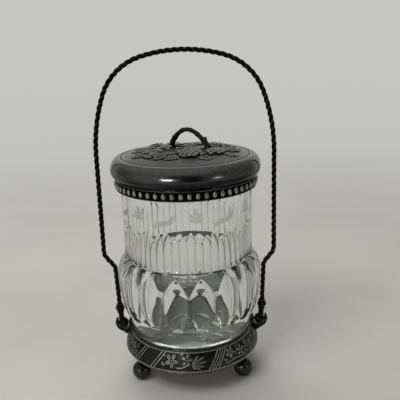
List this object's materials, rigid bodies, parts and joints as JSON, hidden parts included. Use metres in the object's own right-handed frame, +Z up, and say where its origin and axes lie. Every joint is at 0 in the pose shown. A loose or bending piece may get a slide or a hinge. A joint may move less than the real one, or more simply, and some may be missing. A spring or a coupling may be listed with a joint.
{
  "type": "biscuit jar",
  "caption": "Clear moulded glass biscuit jar with a bulged lower half, domed metal lid with a twig handle, footed metal stand ring and hinged twisted wire bail.",
  "frame": {"origin": "centre of the circle of feet, at table level under the jar's axis", "axes": "+Z up the jar's axis, -Y to the front, +X and -X through the two bail hinges"},
  "size_m": [0.1578, 0.13, 0.2894],
  "materials": {
    "stand_silver": "tarnished silver plate, embossed, dark in the hollows",
    "foot_silver": "tarnished silver plate, smooth",
    "lug_silver": "cast, dark tarnish",
    "pin_metal": "dull, darkened",
    "jar_glass": "clear moulded glass with a frosted band",
    "lid_silver": "tarnished silver plate, smooth rim",
    "bead_silver": "silver plate, worn bright on the beads",
    "twig_silver": "cast, dark tarnish",
    "bail_wire": "twisted wire, dark brown tarnish"
  },
  "bodies": {
    "stand": {"base_band": "stand_silver", "base_top_rim": "stand_silver", "base_bottom_rim": "stand_silver", "base_floor": "stand_silver", "foot_left": "foot_silver", "foot_right": "foot_silver", "foot_back": "foot_silver", "lug_left": "lug_silver", "lug_right": "lug_silver", "pivot_pin_left": "pin_metal", "pivot_pin_right": "pin_metal"},
    "jar": {"jar_glass": "jar_glass"},
    "lid": {"lid_cap": "lid_silver", "lid_skirt": "lid_silver", "lid_bead_band": "bead_silver", "twig_handle": "twig_silver", "handle_nuts": "pin_metal"},
    "bail": {"bail_end_left": "lug_silver", "bail_end_right": "lug_silver", "bail_strand_a": "bail_wire", "bail_strand_b": "bail_wire", "bail_strand_c": "bail_wire"}
  },
  "joints": [
    {"name": "jar_lift", "type": "slide", "parent": "stand", "child": "jar", "axis": [0, 0, 1], "range_m": [0, 0.03]},
    {"name": "lid_lift", "type": "slide", "parent": "jar", "child": "lid", "axis": [0, 0, 1], "range_m": [0, 0.035]},
    {"name": "bail_swing", "type": "hinge", "parent": "stand", "child": "bail", "pos_m": [0, 0, 0.0424], "axis": [1, 0, 0], "range_deg": [-92, 92]}
  ]
}
